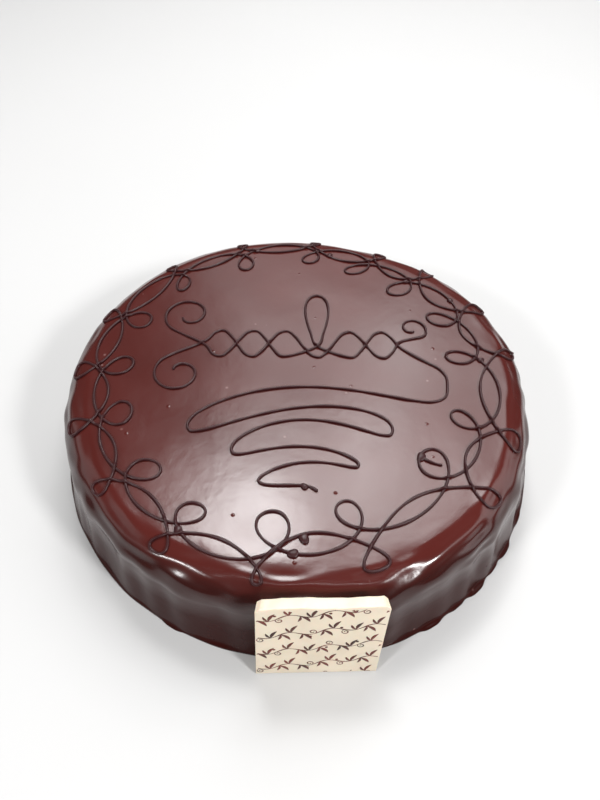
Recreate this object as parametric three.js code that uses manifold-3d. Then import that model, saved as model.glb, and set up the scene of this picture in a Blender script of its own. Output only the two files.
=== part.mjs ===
// Sachertorte: an uncut round torte under dark chocolate glaze. A border of looping piped
// chocolate runs round its rim, a piped scroll lies on its top, and a small slab of printed
// white chocolate stands in front and leans on its side.
//
// Millimetres and degrees, +Z up. The origin is the middle of the torte's base, on the surface
// that it stands on. The slab leans on the -Y side. A bearing turns anticlockwise from +X, and
// a reach is a distance from the middle of the top, measured over the glaze.
import * as THREE from "three";
import { mergeVertices } from "three/addons/utils/BufferGeometryUtils.js";
import Module from "manifold-3d";

const wasm = await Module();
wasm.setup();

// ---- Driving dimensions ----

const CAKE = {
  height: 44.4,
  baseRadius: 117.6,
  sideRadius: 111.6, // where the side meets the rounded rim
  rimRounding: 14,
  flare: 1.4, // how late the side starts to spread towards the base
  footEdge: 0.8, // small round at the foot
};

// The glazed side is not quite round: each wave runs so many times round the torte.
const UNEVENNESS = [
  { times: 1, size: 1.4, peak: 229 },
  { times: 2, size: 0.8, peak: 145 },
  { times: 3, size: 0.7, peak: 21 },
  { times: 4, size: 0.9, peak: 38 },
  { times: 5, size: 0.4, peak: 28 },
];
// And it stands out at the front. The higher the narrowness, the shorter that stretch is.
const BULGE = { size: 2.55, bearing: 282, narrowness: 5, shareAtBase: 0.8 };

const MESH = {
  roundSteps: 72, // facets round the torte
  sideHeights: [5, 11, 18, 25], // rows of facets on the side
  rimSteps: 6, // facets over the rounded rim
  smallestDetail: 0.03,
};

// The bead that is piped: its section, and the gap between it and what it lies on.
const BEAD = {
  width: 1.4,
  height: 1.1,
  gap: 0.35,
  rimGap: 0.45, // a little more where it bends over the rim
  longestStep: 10,
  turnPerStep: 44, // the line's own bend in one step
  tiltPerStep: 15, // the glaze's bend in one step, over the rim
  turnPerPiece: 150, // a piece that bends less than half a turn never crosses itself
};

// Strand one loops inwards and strand two loops outwards, over the rim. Each row is one loop as
// it was piped, and bearings and swings are in degrees.
// Inner loops: [bearing, radius of the tip, reach of the arc after it, swing back, lean].
const INNER_LOOPS = [
  [7.5, 72.5, 91, 7.8, 1], [26.3, 75.5, 95, 8.6, 3],
  [47.8, 74, 92, 8, 2.5], [67, 77.5, 95.5, 7.8, 4],
  [85, 81.5, 98, 7.6, 2.5], [110.5, 80.5, 98.5, 7.8, 1],
  [134.5, 84.5, 102, 7.8, 3], [157.5, 82.5, 100, 8.4, 0],
  [179, 79.5, 95.5, 8.4, -1.5], [198.5, 79, 96, 9.2, -1],
  [221.5, 79.5, 97.5, 8.6, 1.5], [240.5, 82.5, 99.5, 8, 2],
  [263.5, 76, 94, 9.6, 0], [284.5, 73, 91, 8.8, 1],
  [319, 71, 90.5, 10.5, 0], [338, 73.5, 94.5, 8, 3],
];
// Outer loops: [bearing, reach of the tip, reach of the arc after it, swing back].
const OUTER_LOOPS = [
  [8.5, 108, 86, 6.5], [26.5, 108, 85.5, 6.6],
  [47, 107, 86.5, 6.2], [63, 103, 87, 6.2],
  [85, 103, 91.5, 6.2], [109, 104, 91.5, 6.2],
  [133, 107, 92, 6.5], [159, 108, 91, 7.4],
  [180, 108, 89, 7.2], [198.5, 109, 90.5, 6.8],
  [218.5, 107, 91, 6.2], [239.5, 107.5, 92.5, 6.6],
  [262, 106.5, 85, 5.4], [287.3, 104.5, 83.5, 8.4],
  [320, 108.5, 86, 7], [337.5, 106.5, 85.5, 7.8],
];
const BORDER = {
  leanShare: 0.7, // how much of its lean a loop shows
  outerPinch: 0.12, // makes the outer loops shorter than the arcs between them
  tailBearing: 317.5, // a short tail lies inside one inner loop
  tailReach: 72,
  tailLength: 9,
  tailBend: 2, // in degrees
};

// Drops of chocolate where the piping bag paused: [bearing, reach, radius].
const DROPS = [
  [5.4, 88.8, 1.5], [32.7, 94.7, 1.6], [48.9, 87.8, 1.4], [79.3, 89.8, 1.6], [104.9, 94.8, 1.5],
  [241.2, 96.1, 1.9], [269.3, 93.6, 2.1], [272, 87.3, 2.2], [317.5, 71.8, 2.1],
];

// The scroll on the top: a twist of two strands with a petal in its middle.
const TWIST = {
  middleX: 9,
  middleY: 18,
  halfWave: 16,
  swing: 9,
  leftEnd: -46,
  rightEnd: 50,
};
const PETAL = { halfWidth: 6, height: 39, drop: 3, opening: 0.06 };
const VOLUTES = {
  left: { x: -57, above: 20, inner: 3.5, outer: 12.5, from: -150, to: 225 },
  right: { x: 57, above: 12, inner: 2.5, outer: 8, from: -40, to: 300 },
};
const RIGHT_BEND = { x: 58, y: -6, radius: 12.5, from: 62, to: 15 };
// Below it the line swings from side to side: [x, y, depth of the hook] at each end of a sweep,
// and how far each sweep bows up in the middle.
const SWEEP_ENDS = [
  [70, -7, 132], [-49, -33, 60], [42, -34, 56], [-28.5, -45.5, 40],
  [26, -53, 20], [-16, -61, 14], [3, -64, 6],
];
const SWEEP_BOWS = [19, 11, 12.5, 8, 6, 0];

const SLAB = {
  width: 48.8,
  height: 48.4,
  thickness: 4.6,
  slant: 0.8, // the cut sides run inwards to the back by this much
  skew: 1.6, // it is cut out of square: the top lies this far to the right
  chip: 1.6, // broken top corners
  middleX: 8.5,
  footY: -119.8, // the edge that it stands on
  turn: 1.9, // turned a little to the left
  gap: 0.45, // to the torte's side at the slab's middle
};

const COLOURS = {
  glaze: { colour: 0x3a1714, roughness: 0.28 },
  piping: { colour: 0x35151a, roughness: 0.42 },
  whiteChocolate: { colour: 0xe9dcc3, roughness: 0.4 },
};

// ---- Helpers ----

function radians(degrees) {
  return (degrees * Math.PI) / 180;
}

// A cubic between two values with a given slope at each end.
function ease(from, to, slopeFrom, slopeTo, s) {
  const rise = s * s * (3 - 2 * s);
  return from + (to - from) * rise + slopeFrom * s * (1 - s) ** 2 - slopeTo * s * s * (1 - s);
}

function material(look) {
  return new THREE.MeshStandardMaterial({
    color: look.colour,
    roughness: look.roughness,
    metalness: 0,
  });
}

function geometryOf(positions, indices) {
  const geometry = new THREE.BufferGeometry();
  geometry.setAttribute("position", new THREE.Float32BufferAttribute(positions, 3));
  geometry.setIndex(indices);
  return geometry;
}

function solidOf(geometry) {
  const bare = geometry.clone();
  bare.deleteAttribute("normal");
  bare.deleteAttribute("uv");
  const merged = mergeVertices(bare);
  const vertProperties = new Float32Array(merged.getAttribute("position").array);
  const triVerts = new Uint32Array(merged.getIndex().array);
  return new wasm.Manifold(new wasm.Mesh({ numProp: 3, vertProperties, triVerts }));
}

// One body from solids that meet or cross. The slivers that crossings leave are smoothed away.
function joined(solids) {
  const whole = solids.reduce((sum, solid) => sum.add(solid));
  const bodies = whole.simplify(MESH.smallestDetail).decompose();
  const largest = bodies.reduce((best, body) => (body.volume() > best.volume() ? body : best));
  const mesh = largest.getMesh();
  return geometryOf(Array.from(mesh.vertProperties), Array.from(mesh.triVerts));
}

// A closed skin through rings that all have the same number of points, with flat ends.
function skin(rings, closedLoop = false) {
  const around = rings[0].length;
  const positions = rings.flat().flatMap((point) => [point.x, point.y, point.z]);
  const indices = [];
  const pairs = closedLoop ? rings.length : rings.length - 1;
  for (let row = 0; row < pairs; row += 1) {
    const low = row * around;
    const high = ((row + 1) % rings.length) * around;
    for (let i = 0; i < around; i += 1) {
      const next = (i + 1) % around;
      indices.push(low + i, low + next, high + next);
      indices.push(low + i, high + next, high + i);
    }
  }
  if (!closedLoop) {
    const last = (rings.length - 1) * around;
    for (let i = 1; i < around - 1; i += 1) {
      indices.push(0, i + 1, i);
      indices.push(last, last + i, last + i + 1);
    }
  }
  return geometryOf(positions, indices);
}

// ---- The torte ----

function bulgeAt(bearing) {
  return BULGE.size * Math.exp(BULGE.narrowness * (Math.cos(radians(bearing - BULGE.bearing)) - 1));
}

function sideRadiusAt(bearing) {
  const waves = UNEVENNESS.map(
    (wave) => wave.size * Math.cos(radians(wave.times * (bearing - wave.peak))),
  );
  return waves.reduce((sum, wave) => sum + wave, CAKE.sideRadius + bulgeAt(bearing));
}

function baseRadiusAt(bearing) {
  return CAKE.baseRadius + BULGE.shareAtBase * bulgeAt(bearing);
}

// Radius of the side at a height below the rim: it spreads towards the base.
function sideRadiusAtHeight(bearing, height) {
  const rimHeight = CAKE.height - CAKE.rimRounding;
  const down = (rimHeight - height) / rimHeight;
  const radius = sideRadiusAt(bearing);
  return radius + (baseRadiusAt(bearing) - radius) * down ** CAKE.flare;
}

function polar(bearing, radius, z) {
  return new THREE.Vector3(
    radius * Math.cos(radians(bearing)),
    radius * Math.sin(radians(bearing)),
    z,
  );
}

// The point on the glaze, and its upright, at a bearing and a reach over the rim.
function onGlaze(bearing, reach, lift) {
  const flat = sideRadiusAt(bearing) - CAKE.rimRounding;
  const over = Math.min(Math.max((reach - flat) / CAKE.rimRounding, 0), Math.PI / 2);
  const round = CAKE.rimRounding + lift;
  const radius = Math.min(reach, flat) + round * Math.sin(over);
  const height = CAKE.height - CAKE.rimRounding + round * Math.cos(over);
  return {
    point: polar(bearing, radius, height),
    upright: polar(bearing, Math.sin(over), Math.cos(over)),
  };
}

function makeCake() {
  const bearings = Array.from({ length: MESH.roundSteps }, (_, i) => (360 * i) / MESH.roundSteps);
  const rings = [];
  rings.push(bearings.map((bearing) => polar(bearing, baseRadiusAt(bearing) - CAKE.footEdge, 0)));
  for (const height of [CAKE.footEdge, ...MESH.sideHeights]) {
    rings.push(bearings.map((bearing) => polar(bearing, sideRadiusAtHeight(bearing, height), height)));
  }
  for (let step = MESH.rimSteps; step >= 0; step -= 1) {
    const over = (Math.PI / 2) * (step / MESH.rimSteps);
    const reachOver = over * CAKE.rimRounding;
    rings.push(bearings.map((bearing) => {
      const flat = sideRadiusAt(bearing) - CAKE.rimRounding;
      return onGlaze(bearing, flat + reachOver, 0).point;
    }));
  }
  return skin(rings);
}

// ---- Piping ----

// A bead's section: four sides, flat below and narrower on top, standing on the line.
const SECTION = [
  [-0.5, 0], [0.5, 0], [0.3, 1], [-0.3, 1],
].map(([side, up]) => [side * BEAD.width, up * BEAD.height]);

// The stations that a bead needs: closer where the line or the glaze bends.
function stationsOf(place, fineSteps) {
  const fine = Array.from({ length: fineSteps + 1 }, (_, i) => place(i / fineSteps));
  const kept = [0];
  let travelled = 0;
  let turned = 0;
  for (let i = 1; i < fineSteps; i += 1) {
    const before = fine[i].point.clone().sub(fine[i - 1].point);
    const after = fine[i + 1].point.clone().sub(fine[i].point);
    travelled += before.length();
    turned += before.angleTo(after);
    const tilted = fine[i].upright.angleTo(fine[kept.at(-1)].upright);
    const bendsEnough = turned >= radians(BEAD.turnPerStep) || tilted >= radians(BEAD.tiltPerStep);
    if (bendsEnough || travelled >= BEAD.longestStep) {
      kept.push(i);
      travelled = 0;
      turned = 0;
    }
  }
  kept.push(fineSteps);
  return kept.map((i) => {
    const ahead = fine[Math.min(i + 1, fineSteps)].point;
    const behind = fine[Math.max(i - 1, 0)].point;
    const along = ahead.clone().sub(behind).normalize();
    return { ...fine[i], along };
  });
}

function ringAt(station) {
  const aside = station.upright.clone().cross(station.along).normalize();
  return SECTION.map(([side, up]) => station.point
    .clone()
    .addScaledVector(aside, side)
    .addScaledVector(station.upright, up));
}

// The bead's pieces, each bending less than half a turn, ready to be joined.
function beadPieces(place, fineSteps) {
  const stations = stationsOf(place, fineSteps);
  const rings = stations.map(ringAt);
  const pieces = [];
  let first = 0;
  let turned = 0;
  for (let i = 1; i < stations.length; i += 1) {
    turned += stations[i].along.angleTo(stations[i - 1].along);
    if (turned > radians(BEAD.turnPerPiece) || i === stations.length - 1) {
      pieces.push(solidOf(skin(rings.slice(first, i + 1))));
      first = i;
      turned = 0;
    }
  }
  return pieces;
}

// ---- The border ----

// How far a strand has come along a table of loops: the two rows that it lies between, the share
// of the way from one to the other, and its bearing before it swings.
function between(table, loops) {
  const count = table.length;
  const index = Math.floor(loops) % count;
  const row = table[index];
  const next = table[(index + 1) % count];
  const s = loops - Math.floor(loops);
  const spacing = 360 / count;
  const turn = index === count - 1 ? 360 : 0;
  return { row, next, s, base: ease(row[0], next[0] + turn, spacing, spacing, s) };
}

// Bearing and reach of the inner strand: at a whole number of loops it is at a tip.
function innerStrand(loops) {
  const { row, next, s, base } = between(INNER_LOOPS, loops);
  const [tip, swing, lean] = [1, 3, 4].map((i) => ease(row[i], next[i], 0, 0, s));
  const phase = 2 * Math.PI * loops;
  const leaning = BORDER.leanShare * lean * Math.cos(phase);
  const depth = (row[2] - tip) / 2;
  return [base - swing * Math.sin(phase) + leaning, tip + depth * (1 - Math.cos(phase))];
}

function outerStrand(loops) {
  const { row, next, s, base } = between(OUTER_LOOPS, loops);
  const [tip, swing] = [1, 3].map((i) => ease(row[i], next[i], 0, 0, s));
  const phase = 2 * Math.PI * loops;
  const depth = (tip - row[2]) / 2;
  const pinch = BORDER.outerPinch * (1 - Math.cos(2 * phase));
  return [base - swing * Math.sin(phase), row[2] + depth * (1 + Math.cos(phase) + pinch)];
}

function dropSolid([bearing, reach, radius]) {
  const { point } = onGlaze(bearing, reach, BEAD.rimGap + BEAD.height / 2);
  const ball = new THREE.SphereGeometry(radius, 8, 4);
  ball.rotateX(Math.PI / 2);
  ball.scale(1, 1, BEAD.height / 2 / radius);
  ball.translate(point.x, point.y, point.z);
  return solidOf(ball);
}

function makeBorder() {
  const strands = [innerStrand, outerStrand].flatMap((strand) => {
    const count = INNER_LOOPS.length;
    const place = (s) => onGlaze(...strand(s * count), BEAD.rimGap);
    return beadPieces(place, 160 * count);
  });
  const tail = beadPieces((s) => {
    const bearing = BORDER.tailBearing + BORDER.tailBend * s * s;
    return onGlaze(bearing, BORDER.tailReach + BORDER.tailLength * s, BEAD.rimGap);
  }, 20);
  return joined([...strands, ...tail, ...DROPS.map(dropSolid)]);
}

// ---- The scroll ----

function sampled(count, place) {
  return Array.from({ length: count + 1 }, (_, i) => place(i / count));
}

function volute(x, y, from, to, startRadius, endRadius) {
  return sampled(12, (s) => {
    const angle = radians(from + (to - from) * s);
    const radius = startRadius + (endRadius - startRadius) * s ** 0.8;
    return [x + radius * Math.cos(angle), y + radius * Math.sin(angle)];
  });
}

// A strand of the twist between two places: side is 1 for the upper strand, -1 for the lower.
function twist(fromX, toX, side) {
  const count = Math.round(Math.abs(toX - fromX) / 4);
  return sampled(count, (s) => {
    const x = fromX + (toX - fromX) * s;
    const wave = Math.cos((Math.PI * (x - TWIST.middleX)) / TWIST.halfWave);
    return [x, TWIST.middleY + side * TWIST.swing * wave];
  });
}

function petal() {
  return sampled(14, (s) => {
    const turn = PETAL.opening + (Math.PI - 2 * PETAL.opening) * s;
    return [
      TWIST.middleX + PETAL.halfWidth * Math.sin(2 * turn),
      TWIST.middleY - PETAL.drop + PETAL.height * Math.sin(turn),
    ];
  });
}

function sweeps() {
  return SWEEP_BOWS.flatMap((bow, i) => {
    const [x, y, hook] = SWEEP_ENDS[i];
    const [nextX, nextY, nextHook] = SWEEP_ENDS[i + 1];
    return sampled(11, (t) => {
      const s = t * (11 / 12);
      const across = (1 - Math.cos(Math.PI * s)) / 2;
      const rise = bow * Math.sin(Math.PI * s) ** 2;
      return [x + (nextX - x) * across, ease(y, nextY, -hook, -nextHook, s) + rise];
    });
  });
}

function upperStrand() {
  const { left } = VOLUTES;
  const { leftEnd, rightEnd, middleX, middleY } = TWIST;
  const bend = RIGHT_BEND;
  return [
    ...volute(left.x, middleY + left.above, left.from, left.to, left.inner, left.outer),
    ...twist(leftEnd, middleX - 14, 1),
    ...petal(),
    ...twist(middleX + 14, rightEnd, 1),
    ...volute(bend.x, bend.y, bend.from, bend.to, bend.radius, bend.radius),
    ...sweeps(),
    SWEEP_ENDS.at(-1).slice(0, 2),
  ];
}

function lowerStrand() {
  const { left, right } = VOLUTES;
  const { leftEnd, rightEnd, middleY } = TWIST;
  return [
    ...volute(left.x, middleY - left.above, -left.from, -left.to, left.inner, left.outer),
    ...twist(leftEnd, rightEnd, -1),
    ...volute(right.x, middleY + right.above, right.from, right.to, right.outer, right.inner),
  ];
}

function makeScroll() {
  const height = CAKE.height + BEAD.gap;
  const upright = new THREE.Vector3(0, 0, 1);
  const pieces = [upperStrand(), lowerStrand()].flatMap((points) => {
    const places = points.map(([x, y]) => new THREE.Vector3(x, y, height));
    const line = new THREE.CatmullRomCurve3(places, false, "centripetal");
    return beadPieces((s) => ({ point: line.getPoint(s), upright }), 2400);
  });
  return joined(pieces);
}

// ---- The slab ----

// The lean at which the slab's back just reaches the torte's side, with the gap left free.
function slabLean() {
  const heights = sampled(60, (s) => s * CAKE.height);
  const leans = heights.filter((height) => height > CAKE.height / 4).map((height) => {
    const rimHeight = CAKE.height - CAKE.rimRounding;
    const over = Math.asin(Math.max(height - rimHeight, 0) / CAKE.rimRounding);
    const drawnIn = CAKE.rimRounding * (1 - Math.cos(over));
    const radius = sideRadiusAtHeight(270, Math.min(height, rimHeight)) - drawnIn;
    const touchY = -Math.sqrt(radius ** 2 - SLAB.middleX ** 2) - SLAB.gap;
    return Math.atan2(touchY - SLAB.footY, height);
  });
  return Math.min(...leans);
}

function slabOutline(halfWidth, y) {
  const { height, chip, skew } = SLAB;
  const corner = (side, z) => new THREE.Vector3(side + (skew * z) / height, y, z);
  return [
    corner(-halfWidth, 0),
    corner(halfWidth, 0),
    corner(halfWidth, height - chip),
    corner(halfWidth - chip, height),
    corner(-halfWidth + chip, height),
    corner(-halfWidth, height - chip),
  ];
}

function makeSlab() {
  const front = slabOutline(SLAB.width / 2, -SLAB.thickness);
  const back = slabOutline(SLAB.width / 2 - SLAB.slant, 0);
  return skin([back, front]);
}

// ---- The whole ----

const group = new THREE.Group();

function addPart(name, geometry, look) {
  const mesh = new THREE.Mesh(geometry, material(look));
  mesh.name = name;
  group.add(mesh);
  return mesh;
}

addPart("cake", makeCake(), COLOURS.glaze);
addPart("piped_border", makeBorder(), COLOURS.piping);
addPart("piped_scroll", makeScroll(), COLOURS.piping);
const slab = addPart("plaque", makeSlab(), COLOURS.whiteChocolate);
slab.rotation.set(-slabLean(), 0, radians(SLAB.turn), "ZXY");
slab.position.set(SLAB.middleX, SLAB.footY, 0);

export default group;
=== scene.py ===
import math

import bpy
import numpy as np
from bpy.props import FloatProperty, FloatVectorProperty, IntProperty, PointerProperty
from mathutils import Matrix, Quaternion, Vector


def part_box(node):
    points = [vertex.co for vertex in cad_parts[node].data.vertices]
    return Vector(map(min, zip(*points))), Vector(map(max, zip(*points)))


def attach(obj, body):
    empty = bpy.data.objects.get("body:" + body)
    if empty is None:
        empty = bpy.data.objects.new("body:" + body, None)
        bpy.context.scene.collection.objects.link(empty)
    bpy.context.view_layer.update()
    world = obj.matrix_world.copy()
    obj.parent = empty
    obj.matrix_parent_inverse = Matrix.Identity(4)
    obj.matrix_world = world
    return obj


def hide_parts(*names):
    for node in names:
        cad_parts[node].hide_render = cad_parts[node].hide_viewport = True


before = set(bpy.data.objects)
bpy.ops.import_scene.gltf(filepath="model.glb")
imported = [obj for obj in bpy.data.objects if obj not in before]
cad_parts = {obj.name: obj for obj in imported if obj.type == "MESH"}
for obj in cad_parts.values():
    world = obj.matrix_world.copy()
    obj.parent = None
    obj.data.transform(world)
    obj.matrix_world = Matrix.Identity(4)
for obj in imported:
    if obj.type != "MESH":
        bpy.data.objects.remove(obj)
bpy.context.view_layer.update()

bl_info = {
    "name": "Glazed torte",
    "version": (1, 0, 0),
    "blender": (4, 5, 0),
    "location": "View3D > Sidebar > Torte",
    "description": "Makes a glazed torte with piping and a white chocolate slab",
    "category": "Add Mesh",
}

MM = 0.001

_, cake_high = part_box("cake")
slab_low, slab_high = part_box("plaque")

# The glazed side is not quite round: (times round the torte, size in mm, bearing of its peak).
UNEVENNESS = (
    (1, 1.4, 229), (2, 0.8, 145), (3, 0.7, 21), (4, 0.9, 38), (5, 0.4, 28),
)
# It also stands out at the front: (size in mm, bearing, narrowness), and its share at the base.
BULGE = (2.55, 282, 5)
BULGE_AT_BASE = 0.8
# The side grows out to the base as this power of the depth.
FLARE_POWER = 1.4

# Inner loops of the border, in the order that they were piped:
# (bearing, radius of the tip, reach of the arc after it, swing back, lean).
INNER_LOOPS = (
    (7.5, 72.5, 91, 7.8, 1), (26.3, 75.5, 95, 8.6, 3),
    (47.8, 74, 92, 8, 2.5), (67, 77.5, 95.5, 7.8, 4),
    (85, 81.5, 98, 7.6, 2.5), (110.5, 80.5, 98.5, 7.8, 1),
    (134.5, 84.5, 102, 7.8, 3), (157.5, 82.5, 100, 8.4, 0),
    (179, 79.5, 95.5, 8.4, -1.5), (198.5, 79, 96, 9.2, -1),
    (221.5, 79.5, 97.5, 8.6, 1.5), (240.5, 82.5, 99.5, 8, 2),
    (263.5, 76, 94, 9.6, 0), (284.5, 73, 91, 8.8, 1),
    (319, 71, 90.5, 10.5, 0), (338, 73.5, 94.5, 8, 3),
)
# Outer loops, over the rim: (bearing, reach of the tip, reach of the arc after it, swing back).
OUTER_LOOPS = (
    (8.5, 108, 86, 6.5), (26.5, 108, 85.5, 6.6),
    (47, 107, 86.5, 6.2), (63, 103, 87, 6.2),
    (85, 103, 91.5, 6.2), (109, 104, 91.5, 6.2),
    (133, 107, 92, 6.5), (159, 108, 91, 7.4),
    (180, 108, 89, 7.2), (198.5, 109, 90.5, 6.8),
    (218.5, 107, 91, 6.2), (239.5, 107.5, 92.5, 6.6),
    (262, 106.5, 85, 5.4), (287.3, 104.5, 83.5, 8.4),
    (320, 108.5, 86, 7), (337.5, 106.5, 85.5, 7.8),
)
# How far the lean of an inner loop moves its tip, and how much shorter the outer loops are made.
LEAN_SHARE = 0.7
OUTER_PINCH = 0.12
# Half a bead's section as a share of its height, and how far it is sunk into the glaze, in mm.
BEAD_RISE = 0.62
BEAD_SUNK = 0.25
# Drops where the piping bag paused: (bearing, reach, radius).
DROPS = (
    (5.4, 88.8, 1.5), (32.7, 94.7, 1.6), (48.9, 87.8, 1.4), (79.3, 89.8, 1.6), (104.9, 94.8, 1.5),
    (241.2, 96.1, 1.9), (269.3, 93.6, 2.1), (272, 87.3, 2.2), (317.5, 71.8, 2.1),
)
# Waves of the glaze along the rim: (times round, length down the side, size).
STREAKS = (
    (2, 10, 0.14), (-3, 8, 0.14), (7, 9, 0.13), (-11, 7, 0.12), (17, 8, 0.11), (-23, 9, 0.10),
    (31, 7, 0.07),
)
# Runs of the glaze down the side: (times round, size).
RUNS = ((9, 0.35), (14, 0.30), (19, 0.32), (26, 0.32), (37, 0.28), (52, 0.20))
# Small puddles of glaze at the foot: (bearing, half its width in degrees, size).
PUDDLES = (
    (244, 2.2, 0.6), (299, 2.4, 1.1), (306, 2.0, 0.7), (312, 2.6, 1.3), (318.5, 2.0, 0.8),
    (324, 2.6, 1.4), (333, 2.0, 0.5),
)
# The line below the scroll swings from side to side: (x, y, depth of the hook) at each end of a
# sweep, and how far each sweep bows up in its middle.
SWEEP_ENDS = (
    (70, -7, 132), (-49, -33, 60), (42, -34, 56), (-28.5, -45.5, 40),
    (26, -53, 20), (-16, -61, 14), (3, -64, 6),
)
SWEEP_BOWS = (19, 11, 12.5, 8, 6, 0)
# The printed vines: degrees that they climb to the right, the distance between two, and the
# length of a wave of the stem and how far it swings.
VINE_SLANT = 9
VINE_GAP = 12.2
VINE_WAVE = 16
VINE_SWING = 1.4
# The soft lights: (name, place in metres, width, depth, power in watts).
LIGHTS = (
    ("key_softbox", (-0.12, 0.52, 1.20), 0.26, 0.20, 4.6),
    ("key_halo", (-0.01, 0.58, 1.17), 0.40, 0.40, 2.7),
    ("right_low", (0.25, 0.56, 1.16), 0.32, 0.28, 2.2),
    ("right_mid", (0.36, 0.75, 1.05), 0.46, 0.40, 1.9),
    ("middle_softbox", (0.06, 0.84, 1.03), 0.50, 0.40, 1.9),
    ("back_softbox", (0.22, 1.05, 0.89), 1.10, 0.46, 2.7),
    ("strip_near", (0.05, -0.22, 1.25), 0.9, 0.02, 0.3),
    ("strip_far", (0.05, -0.55, 1.15), 0.9, 0.03, 1.6),
    ("left_fill", (-1.5, 0.1, 0.8), 1.2, 0.8, 3),
    ("right_fill", (1.5, 0.0, 0.9), 1.2, 0.8, 7),
    ("left_front", (-0.9, -0.8, 0.9), 0.2, 0.2, 9),
    ("right_front", (0.9, -0.7, 0.9), 0.2, 0.2, 13),
)
# Strength of the even light from all round.
WORLD_LIGHT = 0.12


# ---- Settings ----

class CakeSettings(bpy.types.PropertyGroup):
    """Sizes and colours of the glazed torte."""
    height: FloatProperty(
        name="Height", description="From the base to the flat of the top",
        default=cake_high.z, unit="LENGTH")
    base_radius: FloatProperty(
        name="Base radius", description="Radius where the glaze meets the board",
        default=0.1176, unit="LENGTH")
    side_radius: FloatProperty(
        name="Side radius", description="Radius of the side below its rounded rim",
        default=0.1116, unit="LENGTH")
    rim_rounding: FloatProperty(
        name="Rim rounding", description="Radius of the rounded rim",
        default=0.014, unit="LENGTH")
    ripple: FloatProperty(
        name="Ripple", description="How strongly the glaze ran and rippled, 1 as poured",
        default=1.0, min=0.0, max=3.0, subtype="FACTOR")
    # Painted shade: the dark colour is put on the side and the lower rim as painted shade, and the
    # light colour on the top, so the side is painted darker than the top.
    dark: FloatVectorProperty(
        name="Dark glaze", description="Colour of the glaze where it is thick",
        default=(0.029, 0.0046, 0.0035), subtype="COLOR", size=3, min=0.0, max=1.0)
    light: FloatVectorProperty(
        name="Light glaze", description="Colour of the glaze where it is thin",
        default=(0.080, 0.0118, 0.0092), subtype="COLOR", size=3, min=0.0, max=1.0)


class PipingSettings(bpy.types.PropertyGroup):
    """Sizes and colours of the piped lines."""
    width: FloatProperty(
        name="Bead width", description="Width of a piped line",
        default=0.00120, unit="LENGTH")
    height: FloatProperty(
        name="Bead height", description="Height of a piped line above the glaze",
        default=0.00105, unit="LENGTH")
    step: FloatProperty(
        name="Step", description="Distance between two sections of a bead",
        default=0.0006, unit="LENGTH")
    sides: IntProperty(
        name="Sides", description="Number of sides of a bead's section",
        default=12, min=6, max=32)
    colour: FloatVectorProperty(
        name="Piping colour", description="Colour of the piped chocolate",
        default=(0.030, 0.0058, 0.0068), subtype="COLOR", size=3, min=0.0, max=1.0)


class SlabSettings(bpy.types.PropertyGroup):
    """Sizes and colours of the white chocolate slab."""
    width: FloatProperty(
        name="Width", description="Width of the slab", default=0.0488, unit="LENGTH")
    height: FloatProperty(
        name="Height", description="Height of the slab", default=0.0484, unit="LENGTH")
    thickness: FloatProperty(
        name="Thickness", description="Thickness of the slab", default=0.0046, unit="LENGTH")
    slant: FloatProperty(
        name="Slant", description="How far the cut sides run inwards to the back",
        default=0.0008, unit="LENGTH")
    skew: FloatProperty(
        name="Skew", description="How far the top lies to the right of the foot",
        default=0.0016, unit="LENGTH")
    chip: FloatProperty(
        name="Chip", description="Size of the broken top corners", default=0.0016, unit="LENGTH")
    turn: FloatProperty(
        name="Turn", description="Turn of the slab about the upright",
        default=math.radians(1.9), subtype="ANGLE", unit="ROTATION")
    cream: FloatVectorProperty(
        name="Cream", description="Colour of the white chocolate",
        default=(0.73, 0.63, 0.49), subtype="COLOR", size=3, min=0.0, max=1.0)
    ink: FloatVectorProperty(
        name="Ink", description="Colour of the printed pattern",
        default=(0.060, 0.019, 0.013), subtype="COLOR", size=3, min=0.0, max=1.0)


class StageSettings(bpy.types.PropertyGroup):
    """The floor, the lights and the camera."""
    floor_size: FloatProperty(
        name="Floor size", description="Length of the floor's sides", default=6.0, unit="LENGTH")
    camera_height: FloatProperty(
        name="Camera height", description="Height of the camera above the floor",
        default=0.2628, unit="LENGTH")
    camera_distance: FloatProperty(
        name="Camera distance", description="How far in front of the torte's middle it stands",
        default=0.1959, unit="LENGTH")
    camera_roll: FloatProperty(
        name="Camera roll", description="Turn of the camera about its line of sight",
        default=0.0121, subtype="ANGLE", unit="ROTATION")
    lens: FloatProperty(
        name="Lens", description="Focal length of the camera", default=27.6, min=1.0)


# ---- Surfaces ----

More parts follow.
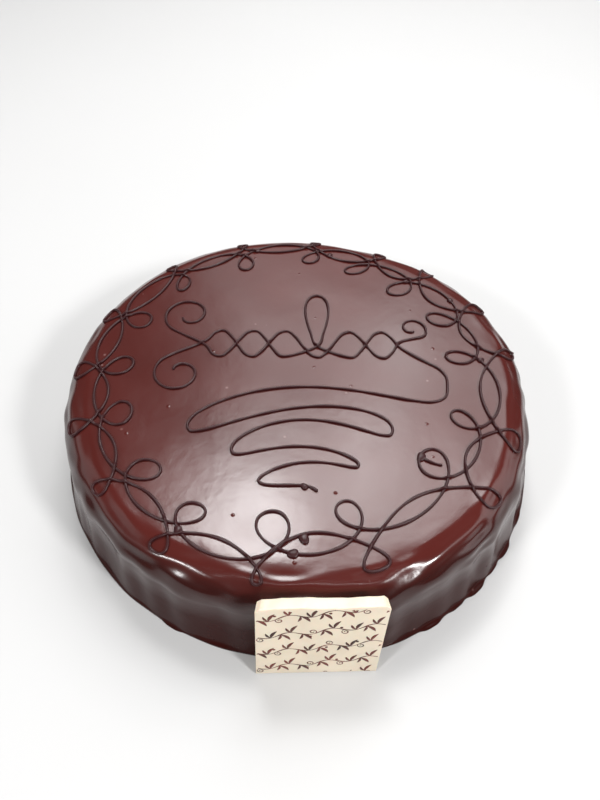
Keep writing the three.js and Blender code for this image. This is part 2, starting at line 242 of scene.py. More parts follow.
def mesh_object(name, patches):
    """A mesh object from patches, each a grid of points (rows, columns, 3) in millimetres.

    Every row is a closed ring. A patch also says how it ends: "poles" closes the first and the
    last row with a fan round their middle point, and "loop" joins the last row to the first.
    """
    points, faces, sides = [], [], []
    offset = 0
    for grid, ends in patches:
        rows, columns = grid.shape[:2]
        index = offset + np.arange(rows * columns).reshape(rows, columns)
        if ends == "loop":
            index = np.concatenate([index, index[:1]])
        low, high = index[:-1], index[1:]
        quads = np.stack(
            [low, np.roll(low, -1, 1), np.roll(high, -1, 1), high], -1).reshape(-1, 4)
        points.append(grid.reshape(-1, 3))
        faces.append(quads.ravel())
        sides.append(np.full(len(quads), 4))
        offset += rows * columns
        if ends == "poles":
            middles = np.stack([grid[0].mean(0), grid[-1].mean(0)])
            first, last = index[0], index[-1]
            low_fan = np.stack(
                [np.roll(first, -1), first, np.full(columns, offset)], -1)
            high_fan = np.stack(
                [last, np.roll(last, -1), np.full(columns, offset + 1)], -1)
            points.append(middles)
            faces.append(np.concatenate([low_fan, high_fan]).ravel())
            sides.append(np.full(2 * columns, 3))
            offset += 2
    points = np.concatenate(points) * MM
    corners = np.concatenate(faces).astype(np.int32)
    totals = np.concatenate(sides).astype(np.int32)
    starts = np.concatenate([[0], np.cumsum(totals)[:-1]]).astype(np.int32)
    mesh = bpy.data.meshes.new(name)
    mesh.vertices.add(len(points))
    mesh.vertices.foreach_set("co", points.astype(np.float32).ravel())
    mesh.loops.add(len(corners))
    mesh.loops.foreach_set("vertex_index", corners)
    mesh.polygons.add(len(totals))
    mesh.polygons.foreach_set("loop_start", starts)
    mesh.polygons.foreach_set("use_smooth", np.ones(len(totals), bool))
    mesh.update(calc_edges=True)
    mesh.validate()
    piece = bpy.data.objects.new(name, mesh)
    bpy.context.scene.collection.objects.link(piece)
    return piece


def settle(piece, nodes):
    """The piece stands for its CAD nodes, which it hides, and rides on the root."""
    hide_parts(*nodes)
    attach(piece, "root")


def ease(start, end, slope_start, slope_end, s):
    """A cubic from start to end as s goes from 0 to 1, with the given slope at each end."""
    rise = s * s * (3 - 2 * s)
    return start + (end - start) * rise + slope_start * s * (1 - s) ** 2 - slope_end * s * s * (1 - s)


def smooth_step(low, high, value):
    """0 below low, 1 above high, and an even curve between them."""
    s = np.clip((value - low) / (high - low), 0, 1)
    return s * s * (3 - 2 * s)


def unit(vectors):
    """The same directions with length one."""
    return vectors / np.linalg.norm(vectors, axis=-1, keepdims=True)


# ---- The glaze ----

def bulge(bearing):
    """How far the front stands out: a peak that falls off by the cosine of the bearing."""
    size, middle, narrowness = BULGE
    return size * np.exp(narrowness * (np.cos(np.radians(bearing - middle)) - 1))


def side_radius(bearing):
    """Radius of the side: the named one, the bulge, and a few slow waves round the torte."""
    settings = bpy.context.scene.torte_cake
    radius = settings.side_radius / MM + bulge(bearing)
    for times, size, peak in UNEVENNESS:
        radius = radius + size * np.cos(np.radians(times * (bearing - peak)))
    return radius


def base_radius(bearing):
    """Radius where the glaze meets the board."""
    settings = bpy.context.scene.torte_cake
    return settings.base_radius / MM + BULGE_AT_BASE * bulge(bearing)


def ripples(bearing, past, x, y):
    """How far the glaze stands out at a bearing and a distance past the flat of the top.

    The sum of three kinds of wave, each faded in where it belongs: very shallow swells on the
    top, streaks that run along the rim, and soft runs down the side. Each is a few cosines with
    seeded phases.
    """
    rng = np.random.default_rng(11)
    angle = np.radians(bearing)
    lively = 0.5 + 0.5 * np.cos(angle - np.radians(305))
    swell = 0
    for length in (38, 47, 61, 83):
        heading, phase = rng.uniform(0, 2 * np.pi, 2)
        across = x * np.cos(heading) + y * np.sin(heading)
        swell = swell + 0.0009 * length * np.cos(2 * np.pi * across / length + phase)
    streaks = 0
    for times, length, size in STREAKS:
        phase = rng.uniform(0, 2 * np.pi)
        streaks = streaks + size * np.cos(times * angle + 2 * np.pi * past / length + phase)
    runs = 0
    for times, size in RUNS:
        phase, drift = rng.uniform(0, 2 * np.pi), rng.uniform(-0.05, 0.05)
        runs = runs + size * np.cos(times * angle + phase + drift * past)
    on_top = 1 - smooth_step(-20, 4, past)
    on_rim = np.exp(-(((past - 10) / 9) ** 2)) * (0.4 + 0.8 * lively)
    on_side = smooth_step(4, 26, past) * (0.45 + 0.75 * lively)
    on_side = on_side * (1 - 0.5 * smooth_step(34, 52, past))
    strength = bpy.context.scene.torte_cake.ripple
    return strength * (swell * on_top + streaks * on_rim + runs * on_side)


def on_glaze(bearing, reach, lift=0.0):
    """Points on the glaze, and the directions that stand upright on it.

    From the middle the surface runs flat to the rim, then round a quarter circle, then down
    the side, whose radius grows towards the base as a power of the depth. The ripples and the
    lift are added along the upright.
    """
    settings = bpy.context.scene.torte_cake
    rounding = settings.rim_rounding / MM
    drop = settings.height / MM - rounding
    radius = side_radius(bearing)
    flat = radius - rounding
    over = np.clip((reach - flat) / rounding, 0, np.pi / 2)
    down = np.clip(reach - flat - rounding * np.pi / 2, 0, drop)
    spread = base_radius(bearing) - radius
    out = np.minimum(reach, flat) + rounding * np.sin(over) + spread * (down / drop) ** FLARE_POWER
    height = drop + rounding * np.cos(over) - down
    slope = FLARE_POWER * spread / drop * (down / drop) ** (FLARE_POWER - 1)
    tilt = np.where(down > 0, np.pi / 2 - np.arctan(slope), over)
    angle = np.radians(bearing)
    proud = lift + ripples(bearing, reach - flat, out * np.cos(angle), out * np.sin(angle))
    out = out + proud * np.sin(tilt)
    height = height + proud * np.cos(tilt)
    points = np.stack([out * np.cos(angle), out * np.sin(angle), height], -1)
    upright = np.stack([np.sin(tilt) * np.cos(angle), np.sin(tilt) * np.sin(angle), np.cos(tilt)], -1)
    return points, upright


def foot_run(bearing):
    """How far the glaze ran out at the foot: a little everywhere, more in a few small puddles."""
    angle = np.radians(bearing)
    run = 0.32 + 0.15 * np.cos(17 * angle + 1) + 0.1 * np.cos(31 * angle)
    for middle, width, size in PUDDLES:
        run = run + size * np.exp(-(((bearing - middle) / width) ** 4))
    return run


def glaze_surface():
    """The whole skin: rings at even reaches from the foot up the side, over the rim and in."""
    settings = bpy.context.scene.torte_cake
    rounding = settings.rim_rounding / MM
    drop = settings.height / MM - rounding
    bearing = np.linspace(0, 360, 720, endpoint=False)
    flat = side_radius(bearing) - rounding
    edge = flat + rounding * np.pi / 2
    side = edge[None] + np.linspace(drop - 2.2, 0, 44)[:, None]
    rim = flat[None] + np.linspace(rounding * np.pi / 2, 0, 38)[1:, None]
    top = flat[None] * np.linspace(1, 0.02, 34)[1:, None]
    reach = np.concatenate([side, rim, top])
    skin, _ = on_glaze(np.broadcast_to(bearing, reach.shape), reach)
    angle = np.radians(bearing)
    run = foot_run(bearing)
    foot = []
    foot_rows = (
        (-3.0, 0.0, 0.0), (-0.3, 1.0, 0.0), (0.0, 1.0, 0.25), (0.0, 0.92, 0.6), (0.0, 0.75, 0.95),
        (0.0, 0.5, 1.25), (0.0, 0.22, 1.5))
    for more, share, height in foot_rows:
        radius = base_radius(bearing) + more + share * run
        foot.append(np.stack([radius * np.cos(angle), radius * np.sin(angle), height + 0 * angle], -1))
    return np.concatenate([np.stack(foot), skin])


# ---- Piped lines ----

def between(table, loops):
    """The rows of a table of loops before and after each place, and how far it has come.

    Also gives the bearing before a strand swings: an even ease from one row's to the next's.
    """
    rows = np.array(table, float)
    index = np.floor(loops).astype(int) % len(rows)
    after = (index + 1) % len(rows)
    s = loops - np.floor(loops)
    spacing = 360 / len(rows)
    full_turn = np.where(after == 0, 360, 0)
    base = ease(rows[index, 0], rows[after, 0] + full_turn, spacing, spacing, s)
    return rows[index], rows[after], s, base


def inner_strand(loops):
    """Bearing and reach of the strand that loops inwards: at a whole number it is at a tip.

    The bearing moves on and swings back by a sine, which makes the loops, and the reach follows
    a cosine between the tip and the arc.
    """
    row, after, s, base = between(INNER_LOOPS, loops)
    tip, swing, lean = (ease(row[:, i], after[:, i], 0, 0, s) for i in (1, 3, 4))
    phase = 2 * np.pi * loops
    bearing = base - swing * np.sin(phase) + LEAN_SHARE * lean * np.cos(phase)
    return bearing, tip + (row[:, 2] - tip) * (1 - np.cos(phase)) / 2


def outer_strand(loops):
    """Bearing and reach of the strand that loops outwards, over the rim, made the same way.

    A second cosine makes its loops shorter than the arcs between them.
    """
    row, after, s, base = between(OUTER_LOOPS, loops)
    tip, swing = (ease(row[:, i], after[:, i], 0, 0, s) for i in (1, 3))
    phase = 2 * np.pi * loops
    share = (1 + np.cos(phase) + OUTER_PINCH * (1 - np.cos(2 * phase))) / 2
    return base - swing * np.sin(phase), row[:, 2] + (tip - row[:, 2]) * share


def even_steps(bearing, reach, step):
    """The same line with its bearings and reaches taken at even distances along it."""
    points, _ = on_glaze(bearing, reach)
    along = np.concatenate([[0], np.cumsum(np.linalg.norm(np.diff(points, axis=0), axis=1))])
    even = np.linspace(0, along[-1], int(along[-1] / step) + 1)
    return np.interp(even, along, bearing), np.interp(even, along, reach)


def crossing_lift(line, earlier, bead, step):
    """How far a line is lifted where it crosses one piped before it, itself included.

    The lift is the bead's height right over the other line and fades within two widths.
    """
    whole = np.concatenate([earlier, line])
    gap = np.linalg.norm(line[:, None] - whole[None], axis=-1)
    order = np.arange(len(whole))[None] - (len(earlier) + np.arange(len(line)))[:, None]
    gap[order > -int(5 * bead / step)] = 1e3
    lift = np.exp(-((gap.min(1) / (0.75 * bead)) ** 2))
    kernel = np.hanning(int(3.5 * bead / step) | 1)
    padded = np.pad(lift, len(kernel), mode="edge")
    smooth = np.convolve(padded, kernel / kernel.sum(), "same")
    return 1.25 * smooth[len(kernel):-len(kernel)]


def bead(points, upright, closed, seed):
    """A rounded section carried along a line that lies on the glaze.

    The section is a circle squashed to the bead's height and sunk a little into the glaze. Its
    width wavers slowly along the line, and open ends are rounded off.
    """
    settings = bpy.context.scene.torte_piping
    width, height = settings.width / MM, settings.height / MM
    rng = np.random.default_rng(seed)
    count = len(points)
    step = settings.step / MM
    if closed:
        along = np.roll(points, -1, 0) - np.roll(points, 1, 0)
    else:
        along = np.gradient(points, axis=0)
    aside = unit(np.cross(upright, unit(along)))
    travel = np.arange(count) / count * 2 * np.pi
    waver = 1.0
    for length in (13, 29, 57):
        times = max(1, round(count * step / length))
        waver = waver + 0.055 * np.cos(times * travel + rng.uniform(0, 2 * np.pi))
    if not closed:
        from_end = np.minimum(np.arange(count), np.arange(count)[::-1]) * step / (width / 2)
        waver = waver * np.sqrt(1 - (1 - np.clip(from_end, 0.02, 1)) ** 2)
    turn = np.linspace(0, 2 * np.pi, settings.sides, endpoint=False)[None, :, None]
    half = (waver * width / 2)[:, None, None]
    rise = (waver * height * BEAD_RISE)[:, None, None]
    centre = points[:, None] + upright[:, None] * (rise - BEAD_SUNK)
    return centre + aside[:, None] * np.cos(turn) * half + upright[:, None] * np.sin(turn) * rise


def drop(bearing, reach, radius):
    """A squashed ball of chocolate on the glaze: rings of latitude about the upright."""
    point, upright = on_glaze(np.array([bearing], float), np.array([reach], float))
    point, upright = point[0], upright[0]
    aside = unit(np.cross(upright, [0.3, 0.9, 0.1]))
    ahead = np.cross(upright, aside)
    latitude = np.linspace(-np.pi / 2 + 0.05, np.pi / 2 - 0.05, 14)[:, None, None]
    turn = np.linspace(0, 2 * np.pi, 24, endpoint=False)[None, :, None]
    wobble = 1 + 0.12 * np.cos(2 * turn + bearing) + 0.06 * np.cos(3 * turn + reach)
    flat = radius * wobble * np.cos(latitude)
    return (point + upright * (0.5 + 0.85 * np.sin(latitude))
            + aside * flat * np.cos(turn) + ahead * flat * np.sin(turn))


def border_patches():
    """Both strands of the border, the short tail inside one loop, and the drops."""
    settings = bpy.context.scene.torte_piping
    width, step = settings.width / MM, settings.step / MM
    loops = np.linspace(0, len(INNER_LOOPS), 12001)
    laid = np.zeros((0, 3))
    patches = []
    for seed, strand in ((3, inner_strand), (4, outer_strand)):
        bearing, reach = even_steps(*strand(loops), step)
        bearing, reach = bearing[:-1], reach[:-1]
        points, _ = on_glaze(bearing, reach)
        lift = crossing_lift(points, laid, width, step)
        laid = np.concatenate([laid, points])
        points, upright = on_glaze(bearing, reach, lift)
        patches.append((bead(points, upright, True, seed), "loop"))
    s = np.linspace(0, 1, 30)
    points, upright = on_glaze(317.5 + 2 * s * s, 72 + 9 * s)
    patches.append((bead(points, upright, False, 5), "poles"))
    patches += [(drop(*place), "poles") for place in DROPS]
    return patches


# ---- The scroll ----

def volute(x, y, start, end, start_radius, end_radius):
    """A spiral about (x, y): its radius grows with a power of the angle turned."""
    s = np.linspace(0, 1, 13)
    angle = np.radians(start + (end - start) * s)
    radius = start_radius + (end_radius - start_radius) * s ** 0.8
    return np.stack([x + radius * np.cos(angle), y + radius * np.sin(angle)], -1)


def twist(start, end, side):
    """A cosine wave along X: side is 1 for the upper strand of the twist, -1 for the lower."""
    x = np.linspace(start, end, round(abs(end - start) / 4) + 1)
    return np.stack([x, 18 + side * 9 * np.cos(np.pi * (x - 9) / 16)], -1)


def petal():
    """A tall closed loop: twice the angle across, once the angle up."""
    turn = np.linspace(0.06, np.pi - 0.06, 15)
    return np.stack([9 + 6 * np.sin(2 * turn), 15 + 39 * np.sin(turn)], -1)


def sweeps():
    """The line that swings from side to side: a cosine across, an ease down and a bow up."""
    s = np.linspace(0, 11 / 12, 12)
    parts = []
    for (x, y, hook), (next_x, next_y, next_hook), bow in zip(SWEEP_ENDS, SWEEP_ENDS[1:], SWEEP_BOWS):
        across = x + (next_x - x) * (1 - np.cos(np.pi * s)) / 2
        down = ease(y, next_y, -hook, -next_hook, s) + bow * np.sin(np.pi * s) ** 2
        parts.append(np.stack([across, down], -1))
    return np.concatenate(parts + [np.array([SWEEP_ENDS[-1][:2]])])


def flowing(points, step):
    """A smooth line through points, at even steps: centripetal Catmull-Rom pieces."""
    padded = np.concatenate([2 * points[:1] - points[1:2], points, 2 * points[-1:] - points[-2:-1]])
    knots = np.concatenate([[0], np.cumsum(np.linalg.norm(np.diff(padded, axis=0), axis=1) ** 0.5)])
    s = np.linspace(0, 1, 40, endpoint=False)[None, :, None]
    p = [padded[i:len(padded) - 3 + i, None] for i in range(4)]
    k = [knots[i:len(knots) - 3 + i, None, None] for i in range(4)]
    t = k[1] + (k[2] - k[1]) * s

    def mixed(a, b, i, j):
        return ((k[j] - t) * a + (t - k[i]) * b) / (k[j] - k[i])

    first, middle, last = (mixed(p[i], p[i + 1], i, i + 1) for i in range(3))
    line = mixed(mixed(first, middle, 0, 2), mixed(middle, last, 1, 3), 1, 2).reshape(-1, 2)
    line = np.concatenate([line, points[-1:]])
    along = np.concatenate([[0], np.cumsum(np.linalg.norm(np.diff(line, axis=0), axis=1))])
    even = np.linspace(0, along[-1], int(along[-1] / step) + 1)
    return np.stack([np.interp(even, along, line[:, 0]), np.interp(even, along, line[:, 1])], -1)


def scroll_lines():
    """The two strands of the scroll. The upper one runs on into the sweeps below."""
    upper = np.concatenate([
        volute(-57, 38, -150, 225, 3.5, 12.5), twist(-46, -5, 1), petal(), twist(23, 50, 1),
        volute(58, -6, 62, 15, 12.5, 12.5), sweeps()])
    lower = np.concatenate([
        volute(-57, -2, 150, -225, 3.5, 12.5), twist(-46, 50, -1),
        volute(57, 30, -40, 300, 8, 2.5)])
    return upper, lower


def scroll_patches():
    """Both strands of the scroll, with a drop and a drawn-out tail where the long one ends."""
    settings = bpy.context.scene.torte_piping
    width, step = settings.width / MM, settings.step / MM
    laid = np.zeros((0, 3))
    patches = []
    for seed, line in zip((6, 7), scroll_lines()):
        flat = flowing(line, step)
        bearing = np.degrees(np.arctan2(flat[:, 1], flat[:, 0]))
        reach = np.hypot(flat[:, 0], flat[:, 1])
        points, _ = on_glaze(bearing, reach)
        lift = crossing_lift(points, laid, width, step)
        laid = np.concatenate([laid, points])
        points, upright = on_glaze(bearing, reach, lift)
        patches.append((bead(points, upright, False, seed), "poles"))
    x, y, _ = SWEEP_ENDS[-1]
    patches.append((drop(math.degrees(math.atan2(y, x)), math.hypot(x, y), 1.5), "poles"))
    s = np.linspace(0, 1, 24)
    tail_x, tail_y = x + 5.5 * s, y + 0.4 - 2.6 * s * s
    points, upright = on_glaze(np.degrees(np.arctan2(tail_y, tail_x)), np.hypot(tail_x, tail_y))
    patches.append((bead(points, upright, False, 8), "poles"))
    return patches


# ---- The slab ----

def slab_lean():
    """How far the slab leans back: the lean that gives its solid the height it has."""
    settings = bpy.context.scene.torte_slab
    diagonal = math.hypot(settings.height, settings.thickness)
    return math.atan2(settings.thickness, settings.height) + math.acos(slab_high.z / diagonal)


def on_slab(across, depth, up):
    """Places in the slab, from its middle, its back and its foot, turned to where it leans."""
    settings = bpy.context.scene.torte_slab
    lean, turn = slab_lean(), settings.turn
    y = depth * math.cos(lean) + up * math.sin(lean)
    z = up * math.cos(lean) - depth * math.sin(lean)
    half = settings.width / MM / 2
    thick = settings.thickness / MM * math.cos(lean)
    foot_x = slab_low.x / MM + half * math.cos(turn) - thick * math.sin(turn)
    foot_y = slab_low.y / MM + thick * math.cos(turn) + half * math.sin(turn)
    across = across + settings.skew / settings.height * up
    x = foot_x + across * math.cos(turn) - y * math.sin(turn)
    return np.stack([x, foot_y + across * math.sin(turn) + y * math.cos(turn), z], -1)


def slab_outline(half_width, height, chip, inset):
    """A closed outline of the slab's face, moved in by inset: straight sides, chipped corners.

    Points are spread along each side in turn, anticlockwise seen from the front.
    """
    corners = np.array([
        (-half_width + inset, inset), (half_width - inset, inset),
        (half_width - inset, height - chip), (half_width - chip, height - inset),
        (-half_width + chip, height - inset), (-half_width + inset, height - chip)])
    s = np.linspace(0, 1, 24, endpoint=False)[None, :, None]
    sides = corners[:, None] * (1 - s) + np.roll(corners, -1, 0)[:, None] * s
    return sides.reshape(-1, 2)


def slab_surface():
    """The outline carried from the back to the front, with small rounds at both faces.

    The faces are the same outline drawn in towards their middle. The broken top edge is a few
    cosines along it.
    """
    settings = bpy.context.scene.torte_slab
    thick, slant = settings.thickness / MM, settings.slant / MM
    half, height, chip = settings.width / MM / 2, settings.height / MM, settings.chip / MM
    round_size = 0.35
    turns = np.linspace(0, np.pi / 2, 5)
    rounds = round_size * (1 - np.sin(turns))
    depths = np.concatenate([
        [0.0, 0.0], round_size * (1 - np.cos(turns)), np.linspace(1, thick - 1, 6),
        thick - round_size * (1 - np.cos(turns[::-1])), [thick, thick]])
    insets = np.concatenate([rounds[[0, 0]], rounds, np.zeros(6), rounds[::-1], rounds[[0, 0]]])
    shares = np.concatenate([[0.1, 0.9], np.ones(16), [0.9, 0.1]])
    phases = np.random.default_rng(5).uniform(0, 6, 4)
    rows = []
    for depth, inset, share in zip(depths, insets, shares):
        x, z = slab_outline(half - slant * (1 - depth / thick), height, chip, inset).T
        ragged = 0
        for length, phase in zip((3.1, 5.3, 9.7, 31), phases):
            ragged = ragged + 0.012 * length * np.cos(2 * np.pi * (x + 0.6 * depth) / length + phase)
        z = z + smooth_step(height - 3, height - 0.5, z) * ragged
        rows.append(on_slab(x * share, -depth, height / 2 + (z - height / 2) * share))
    return np.stack(rows)


# ---- The pattern on the slab ----

def stroke(x, y, width):
    """The places and widths along a stroke, side by side."""
    return np.stack([x, y, width + 0 * x], -1)


def leaf(x, y, length, slope, width):
    """A pointed leaf: a slightly bent stroke whose width swells to its middle."""
    s = np.linspace(0, 1, 32)
    heading = math.radians(slope)
    bend = 0.10 * length * np.sin(np.pi * s)
    line_x = x + length * s * math.cos(heading) - bend * math.sin(heading)
    line_y = y + length * s * math.sin(heading) + bend * math.cos(heading)
    return stroke(line_x, line_y, 0.05 + width * np.sin(np.pi * s) ** 0.8)


def tendril(x, y, size, side):
    """A spiral that winds up as it goes: side is 1 to wind anticlockwise, -1 clockwise."""
    s = np.linspace(0, 1, 80)
    angle = side * 2.6 * np.pi * s
    radius = size * (1 - 0.78 * s)
    line_x = x + radius * np.sin(angle)
    line_y = y + side * (size - radius * np.cos(angle))
    return stroke(line_x, line_y, 0.20 + 0.30 * np.sin(np.pi * s))


def berry(x, y, size):
    """A round berry: a short stroke as wide as it is long."""
    s = np.linspace(-1, 1, 14)
    return stroke(x + size * s, y + 0 * s, 2 * size * np.sqrt(1 - 0.99 * s * s))


def vine(start, end, wave):
    """A wavy stem with a pair of leaves at every turn of the wave, tendrils and berries.

    The stem is a sine of the distance along it. Leaves stand above and below it in turn.
    """
    x = np.linspace(start, end, 260)
    stem_y = VINE_SWING * np.sin(2 * np.pi * x / wave)
    strokes = [stroke(x, stem_y, 0.34 + 0.30 * np.sin(2 * np.pi * x / wave + 1) ** 2)]
    for number, place in enumerate(np.arange(start + 1, end - 1, wave / 4)):
        y = VINE_SWING * math.sin(2 * math.pi * place / wave)
        side = 1 if number % 2 else -1
        kind = number % 8
        if kind in (3, 6):
            strokes.append(tendril(place, y, 1.6, side))
            strokes.append(berry(place - 1.2, y - side * 1.7, 0.6))
        else:
            strokes.append(leaf(place, y, 5.4, side * 56, 1.35))
            strokes.append(leaf(place, y, 3.9, side * 112, 1.0))
    return strokes


def print_patches():
    """Vines in slanting rows over the slab's front, each stroke cut off at the slab's edge.

    A stroke is a very thin lens-shaped section carried along its line, just proud of the face.
    """
    settings = bpy.context.scene.torte_slab
    half, height = settings.width / MM / 2, settings.height / MM
    front = -settings.thickness / MM
    turn = np.linspace(2 * np.pi, 0, 6, endpoint=False)[None]
    slant = math.radians(VINE_SLANT)
    patches = []
    for number, row in enumerate(np.arange(-16, height + 16, VINE_GAP)):
        for x, y, width in (line.T for line in vine(-48 + 7 * (number % 2), 46, VINE_WAVE)):
            px = x * math.cos(slant) - y * math.sin(slant)
            py = row + x * math.sin(slant) + y * math.cos(slant)
            margin = 0.4 + width / 2
            inside = (np.abs(px) < half - margin) & (py > margin) & (py < height - 0.4 - margin)
            breaks = np.flatnonzero(np.diff(inside.astype(int))) + 1
            for run in np.split(np.arange(len(x)), breaks):
                if len(run) < 3 or not inside[run[0]]:
                    continue
                along = np.stack([np.gradient(px[run]), np.gradient(py[run])], -1)
                along = unit(along)[:, None]
                side = width[run, None] / 2 * np.cos(turn)
                across = px[run, None] - side * along[..., 1]
                up = py[run, None] + side * along[..., 0]
                depth = front - 0.02 + 0.03 * np.sin(turn) + 0 * across
                patches.append((on_slab(across, depth, up), "poles"))
    return patches


# ---- Finishes ----

class Finish:
    """A material under construction: its nodes are added one by one on Object coordinates."""

    def __init__(self, name):
        self.material = bpy.data.materials.new(name)
        self.material.use_nodes = True
        self.tree = self.material.node_tree
        self.shader = self.tree.nodes["Principled BSDF"]
        self.place = self.add("ShaderNodeTexCoord").outputs["Object"]

    def add(self, kind, **values):
        """A node with its sockets set by name: a plain value, or another node's output."""
        node = self.tree.nodes.new(kind)
        for name, value in values.items():
            self.put(node.inputs[name.replace("_", " ")], value)
        return node

    def put(self, socket, value):
        """Links an output to the socket, or sets its value."""
        if isinstance(value, bpy.types.NodeSocket):
            self.tree.links.new(value, socket)
        else:
            socket.default_value = value

    def noise(self, scale, detail=2.0, roughness=0.5, distortion=0.0):
        """Soft noise between 0 and 1, scale features a metre."""
        node = self.add("ShaderNodeTexNoise", Vector=self.place, Scale=scale, Detail=detail,
                        Roughness=roughness, Distortion=distortion)
        return node.outputs["Fac"]

    def specks(self, scale, size, share):
        """Round specks: 1 at a speck's middle, for a share of the cells of a scattered grid."""
        cells = self.add("ShaderNodeTexVoronoi", Vector=self.place, Scale=scale)
        near = self.span(cells.outputs["Distance"], size, 0.0)
        chosen = self.span(self.red(cells.outputs["Color"]), 1 - share, 1 - share + 0.01)
        return self.times(near, chosen)

    def red(self, colour):
        """The red channel of a colour."""
        return self.add("ShaderNodeSeparateColor", Color=colour).outputs["Red"]

    def span(self, value, low, high, to_low=0.0, to_high=1.0):
        """Value taken from the range low to high onto another one, and held there."""
        node = self.add("ShaderNodeMapRange", Value=value)
        names = ("From Min", "From Max", "To Min", "To Max")
        for name, number in zip(names, (low, high, to_low, to_high)):
            node.inputs[name].default_value = number
        return node.outputs["Result"]

    def times(self, first, second):
        """The product of two values."""
        node = self.tree.nodes.new("ShaderNodeMath")
        node.operation = "MULTIPLY"
        self.put(node.inputs[0], first)
        self.put(node.inputs[1], second)
        return node.outputs["Value"]

    def blend(self, share, first, second):
        """A mix of two colours."""
        node = self.tree.nodes.new("ShaderNodeMix")
        node.data_type = "RGBA"
        self.put(node.inputs["Factor"], share)
        self.put(node.inputs["A"], first)
        self.put(node.inputs["B"], second)
        return node.outputs["Result"]

    def bump(self, height, distance, below=None):
        """A bump of that height in metres, on top of an earlier one."""
        node = self.add("ShaderNodeBump", Height=height, Distance=distance)
        node.inputs["Strength"].default_value = 1.0
        if below is not None:
            self.put(node.inputs["Normal"], below)
        return node.outputs["Normal"]

    def finish(self, **values):
        """Sets the shader's own sockets and hands back the material."""
        for name, value in values.items():
            self.put(self.shader.inputs[name.replace("_", " ")], value)
        return self.material


def solid(colour):
    """A colour with full opacity."""
    return (*colour, 1.0)


def glaze_finish():
    """Poured chocolate glaze: satin gloss, patchy brown, with pinholes and a few pimples. The side and
    the lower rim are painted darker than the top as painted shade.
    """
    settings = bpy.context.scene.torte_cake
    f = Finish("chocolate_glaze")
    height = settings.height
    up = f.add("ShaderNodeSeparateXYZ", Vector=f.place).outputs["Z"]
    patches = f.span(f.noise(14, 3, 0.55), 0.3, 0.75, 0.55, 1.0)
    # Painted shade: below 0.88 of the height the glaze keeps the dark colour, and towards the top it
    # is mixed to the light one by random patches.
    thin = f.times(patches, f.span(up, 0.88 * height, 0.985 * height))
    colour = f.blend(thin, solid(settings.dark), solid(settings.light))
    pale = f.specks(180, 0.16, 0.05)
    colour = f.blend(f.times(pale, 0.6), colour, (0.30, 0.17, 0.16, 1.0))
    skin = f.bump(f.noise(38, 3, 0.6), 0.00022)
    skin = f.bump(f.noise(420, 2, 0.5), 0.00003, skin)
    skin = f.bump(f.specks(120, 0.11, 0.12), 0.00025, skin)
    return f.finish(
        Base_Color=colour, Roughness=f.span(f.noise(30, 2), 0.2, 0.8, 0.17, 0.25),
        Specular_IOR_Level=f.span(up, 0.4 * height, 0.92 * height, 0.08, 0.5),
        Normal=skin, IOR=1.45)


def piping_finish():
    """Piped chocolate: a softer sheen than the glaze, with fine waver in its colour."""
    settings = bpy.context.scene.torte_piping
    base = np.array(settings.colour)
    f = Finish("piped_chocolate")
    colour = f.blend(f.noise(120, 2), solid(base * 0.75), solid(base * 1.35))
    return f.finish(
        Base_Color=colour, Roughness=f.span(f.noise(300, 2), 0.3, 0.7, 0.3, 0.42),
        Specular_IOR_Level=0.35, Normal=f.bump(f.noise(700, 2), 0.00006), IOR=1.46)


def cream_finish():
    """White chocolate: ivory with faint mottling, smooth on its faces."""
    settings = bpy.context.scene.torte_slab
    base = np.array(settings.cream)
    f = Finish("white_chocolate")
    mottling = f.span(f.noise(60, 3), 0.3, 0.7)
    colour = f.blend(mottling, solid(base * 0.93), solid(np.minimum(base * 1.05, 1)))
    skin = f.bump(f.noise(150, 3, 0.6), 0.00005)
    skin = f.bump(f.noise(900, 3, 0.7), 0.00003, skin)
    return f.finish(Base_Color=colour, Roughness=f.span(f.noise(90, 2), 0.3, 0.7, 0.32, 0.48),
                    Normal=skin, IOR=1.45, Subsurface_Weight=0.15, Subsurface_Scale=0.002)


def ink_finish():
    """Printed cocoa butter: dark brown, warmer in places."""
    settings = bpy.context.scene.torte_slab
    base = np.array(settings.ink)
    f = Finish("printed_cocoa")
    warmth = f.span(f.noise(110, 2), 0.35, 0.65)
    colour = f.blend(warmth, solid(base * 0.8), solid(base * (2.6, 1.5, 1.4)))
    return f.finish(Base_Color=colour, Roughness=0.38, Specular_IOR_Level=0.25,
                    Normal=f.bump(f.noise(900, 2), 0.00002))


def floor_finish():
    """A plain pale floor with the faintest mottling."""
    f = Finish("pale_floor")
    colour = f.blend(f.noise(3, 2), (0.57, 0.568, 0.565, 1.0), (0.60, 0.598, 0.596, 1.0))
    return f.finish(Base_Color=colour, Roughness=0.7)


# ---- Operators ----

class TORTE_OT_glaze(bpy.types.Operator):
    """Make the glazed torte"""
    bl_idname = "torte.glaze"
    bl_label = "Glazed torte"

    def execute(self, context):
        glaze = mesh_object("glazed_torte", [(glaze_surface(), "poles")])
        glaze.data.materials.append(glaze_finish())
        settle(glaze, ["cake"])
        return {"FINISHED"}


class TORTE_OT_border(bpy.types.Operator):
    """Pipe the looping border round the rim"""
    bl_idname = "torte.border"
    bl_label = "Piped border"

    def execute(self, context):
        border = mesh_object("border_piping", border_patches())
        border.data.materials.append(piping_finish())
        settle(border, ["piped_border"])
        return {"FINISHED"}


class TORTE_OT_scroll(bpy.types.Operator):
    """Pipe the scroll and its sweeps on the top"""
    bl_idname = "torte.scroll"
    bl_label = "Piped scroll"

    def execute(self, context):
        scroll = mesh_object("scroll_piping", scroll_patches())
        scroll.data.materials.append(piping_finish())
        settle(scroll, ["piped_scroll"])
        return {"FINISHED"}


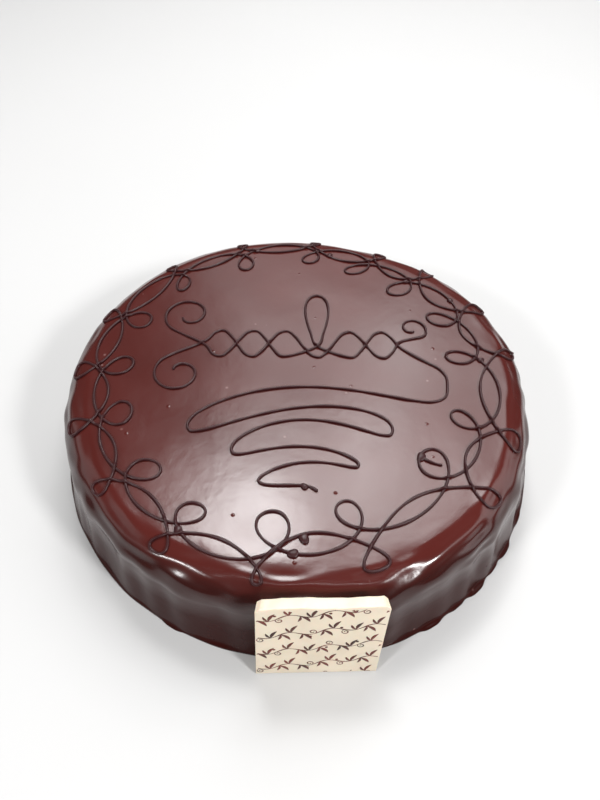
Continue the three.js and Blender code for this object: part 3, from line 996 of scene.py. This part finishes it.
class TORTE_OT_slab(bpy.types.Operator):
    """Make the white chocolate slab"""
    bl_idname = "torte.slab"
    bl_label = "White chocolate slab"

    def execute(self, context):
        slab = mesh_object("cream_slab", [(slab_surface(), "poles")])
        slab.data.materials.append(cream_finish())
        settle(slab, ["plaque"])
        return {"FINISHED"}


class TORTE_OT_print(bpy.types.Operator):
    """Print vines on the slab's front"""
    bl_idname = "torte.print"
    bl_label = "Printed vines"

    def execute(self, context):
        print_piece = mesh_object("slab_print", print_patches())
        print_piece.data.materials.append(ink_finish())
        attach(print_piece, "root")
        return {"FINISHED"}


def soft_light(name, place, width, depth, power):
    """A rectangular soft light at a place, aimed at the middle of the torte's top."""
    light = bpy.data.lights.new(name, "AREA")
    light.shape = "RECTANGLE"
    light.size = width
    light.size_y = depth
    light.energy = power
    lamp = bpy.data.objects.new(name, light)
    lamp.location = place
    aim = Vector((0, 0, 0.03)) - Vector(place)
    lamp.rotation_euler = aim.to_track_quat("-Z", "Y").to_euler()
    bpy.context.scene.collection.objects.link(lamp)


class TORTE_OT_stage(bpy.types.Operator):
    """Set the floor, the soft lights and the camera"""
    bl_idname = "torte.stage"
    bl_label = "Stage"

    def execute(self, context):
        scene = context.scene
        settings = scene.torte_stage
        half = settings.floor_size / 2
        mesh = bpy.data.meshes.new("floor")
        corners = [(-half, -half, 0), (half, -half, 0), (half, half, 0), (-half, half, 0)]
        mesh.from_pydata(corners, [], [(0, 1, 2, 3)])
        floor = bpy.data.objects.new("floor", mesh)
        scene.collection.objects.link(floor)
        floor.data.materials.append(floor_finish())
        for light in LIGHTS:
            soft_light(*light)
        world = bpy.data.worlds.new("pale_room")
        world.use_nodes = True
        world.node_tree.nodes["Background"].inputs["Color"].default_value = (1.0, 1.0, 1.0, 1.0)
        world.node_tree.nodes["Background"].inputs["Strength"].default_value = WORLD_LIGHT
        scene.world = world
        scene.view_settings.view_transform = "Standard"
        camera_data = bpy.data.cameras.new("camera")
        camera_data.lens = settings.lens
        camera_data.clip_start = 0.01
        camera = bpy.data.objects.new("camera", camera_data)
        place = Vector((0.0008, -settings.camera_distance, settings.camera_height))
        aim = Vector((0.0008, 0.0185, 0.0))
        camera.location = place
        camera.rotation_mode = "QUATERNION"
        turned = Quaternion((0, 0, 1), settings.camera_roll)
        camera.rotation_quaternion = (aim - place).to_track_quat("-Z", "Y") @ turned
        scene.collection.objects.link(camera)
        scene.camera = camera
        return {"FINISHED"}


class TORTE_PT_panel(bpy.types.Panel):
    """Lists the pieces of the torte"""
    bl_idname = "TORTE_PT_panel"
    bl_label = "Glazed torte"
    bl_space_type = "VIEW_3D"
    bl_region_type = "UI"
    bl_category = "Torte"

    def draw(self, context):
        for operator in OPERATORS:
            self.layout.operator(operator.bl_idname)


SETTINGS = {
    "torte_cake": CakeSettings,
    "torte_piping": PipingSettings,
    "torte_slab": SlabSettings,
    "torte_stage": StageSettings,
}
OPERATORS = (
    TORTE_OT_glaze, TORTE_OT_border, TORTE_OT_scroll, TORTE_OT_slab, TORTE_OT_print, TORTE_OT_stage,
)


def register():
    """Registers the settings, the operators and the panel."""
    for name, settings in SETTINGS.items():
        bpy.utils.register_class(settings)
        setattr(bpy.types.Scene, name, PointerProperty(type=settings))
    for operator in OPERATORS:
        bpy.utils.register_class(operator)
    bpy.utils.register_class(TORTE_PT_panel)


def unregister():
    """Removes what register added."""
    bpy.utils.unregister_class(TORTE_PT_panel)
    for operator in reversed(OPERATORS):
        bpy.utils.unregister_class(operator)
    for name, settings in SETTINGS.items():
        delattr(bpy.types.Scene, name)
        bpy.utils.unregister_class(settings)


def main():
    register()
    bpy.ops.torte.glaze()
    bpy.ops.torte.border()
    bpy.ops.torte.scroll()
    bpy.ops.torte.slab()
    bpy.ops.torte.print()
    bpy.ops.torte.stage()


if __name__ == "__main__":
    main()
